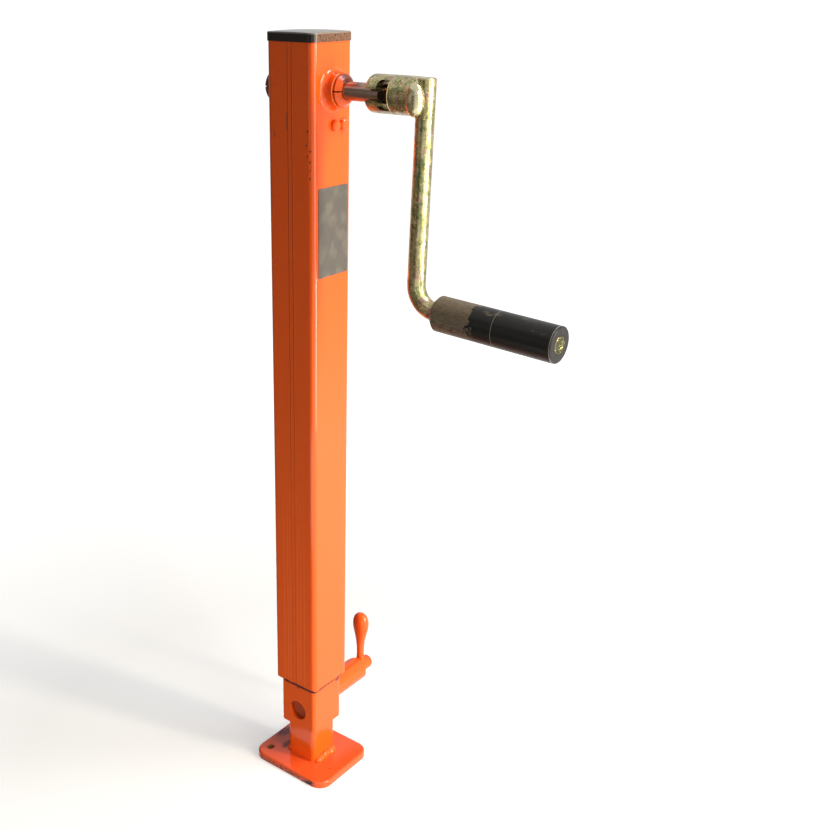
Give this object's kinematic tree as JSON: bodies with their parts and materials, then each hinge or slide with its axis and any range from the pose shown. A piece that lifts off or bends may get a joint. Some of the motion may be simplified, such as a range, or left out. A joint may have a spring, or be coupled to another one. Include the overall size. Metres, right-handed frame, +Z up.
{
  "type": "drop leg trailer jack",
  "caption": "Square telescopic jack for a trailer: a side crank lifts it through bevel gears and a screw, and an inner drop leg with a foot plate is set by a cam-lever lock.",
  "frame": {"origin": "middle of the foot plate's underside, on the leg's axis", "axes": "+Z up along the leg, +X towards the crank, +Y towards the lock lever"},
  "size_m": [0.3447, 0.1587, 0.8432],
  "materials": {
    "orange_paint": "glossy enamel",
    "zinc_plate": "yellow-passivated zinc plate",
    "machined_steel": "machined and oiled",
    "bearing_steel": "ground",
    "grip_plastic": "moulded, slightly dusty",
    "cap_plastic": "moulded",
    "brass_cage": "pressed",
    "bright_zinc": "bright zinc plate",
    "label_film": "bare foil, satin"
  },
  "bodies": {
    "outer": {"outer_tube": "orange_paint", "top_cap": "cap_plastic", "bush_crank_side": "orange_paint", "bush_far_side": "orange_paint", "bearing_plate": "machined_steel", "bearing_rivets": "orange_paint", "thrust_washer_upper": "bearing_steel", "type_plate": "label_film"},
    "shaft": {"drive_shaft": "machined_steel", "shaft_circlip": "bearing_steel", "bevel_pinion": "machined_steel", "pinion_pin": "bearing_steel", "crank_pin": "bearing_steel"},
    "crank": {"crank_hub": "zinc_plate", "crank_arm": "zinc_plate", "crank_welds": "zinc_plate", "grip_cap": "bright_zinc"},
    "grip": {"crank_grip": "grip_plastic"},
    "spindle": {"lifting_spindle": "machined_steel", "spindle_stop": "machined_steel", "stop_pin": "bearing_steel", "bevel_wheel": "machined_steel", "wheel_pin": "bearing_steel", "thrust_washer_lower": "bearing_steel"},
    "bearing": {"ball_cage": "brass_cage", "thrust_balls": "bearing_steel"},
    "inner": {"inner_tube": "orange_paint", "spindle_nut": "machined_steel", "nut_dowels": "machined_steel", "lock_housing": "orange_paint", "housing_weld": "orange_paint", "lock_spring": "bearing_steel"},
    "leg": {"drop_leg": "orange_paint", "foot_plate": "orange_paint", "foot_welds": "orange_paint"},
    "pin": {"lock_pin": "orange_paint"},
    "lever": {"lock_knuckle": "orange_paint", "lock_lever": "orange_paint"}
  },
  "joints": [
    {"name": "crank_turn", "type": "hinge", "parent": "outer", "child": "shaft", "pos_m": [0, 0, 0.789], "axis": [1, 0, 0], "range_deg": [0, 43200]},
    {"name": "crank_pull_off", "type": "slide", "parent": "shaft", "child": "crank", "axis": [1, 0, 0], "range_m": [0, 0.04]},
    {"name": "grip_spin", "type": "hinge", "parent": "crank", "child": "grip", "pos_m": [0.15906, 0, 0.58949], "axis": [0.999, 0, -0.0448], "continuous": true},
    {"name": "spindle_turn", "type": "hinge", "parent": "outer", "child": "spindle", "pos_m": [0, 0, 0.745], "axis": [0, 0, 1], "range_deg": [0, 28800]},
    {"name": "bearing_turn", "type": "hinge", "parent": "outer", "child": "bearing", "pos_m": [0, 0, 0.7445], "axis": [0, 0, 1], "range_deg": [0, 14400]},
    {"name": "inner_tube_slide", "type": "slide", "parent": "outer", "child": "inner", "axis": [0, 0, -1], "range_m": [0, 0.4]},
    {"name": "drop_leg_slide", "type": "slide", "parent": "inner", "child": "leg", "axis": [0, 0, -1], "range_m": [0, 0.315]},
    {"name": "lock_pin_slide", "type": "slide", "parent": "inner", "child": "pin", "axis": [0, -1, 0], "range_m": [0, 0.016], "deforming": ["lock_spring"]},
    {"name": "lock_lever_turn", "type": "hinge", "parent": "pin", "child": "lever", "pos_m": [0, 0.096, 0.077], "axis": [0, -1, 0], "range_deg": [0, 90]}
  ],
  "couplings": [
    {"joint": "spindle_turn", "follows": "crank_turn", "ratio": 0.66667},
    {"joint": "bearing_turn", "follows": "crank_turn", "ratio": 0.33333},
    {"joint": "inner_tube_slide", "follows": "crank_turn", "m_per_rad": 0.00053052},
    {"joint": "lock_pin_slide", "follows": "lock_lever_turn", "m_per_rad": 0.010186}
  ]
}
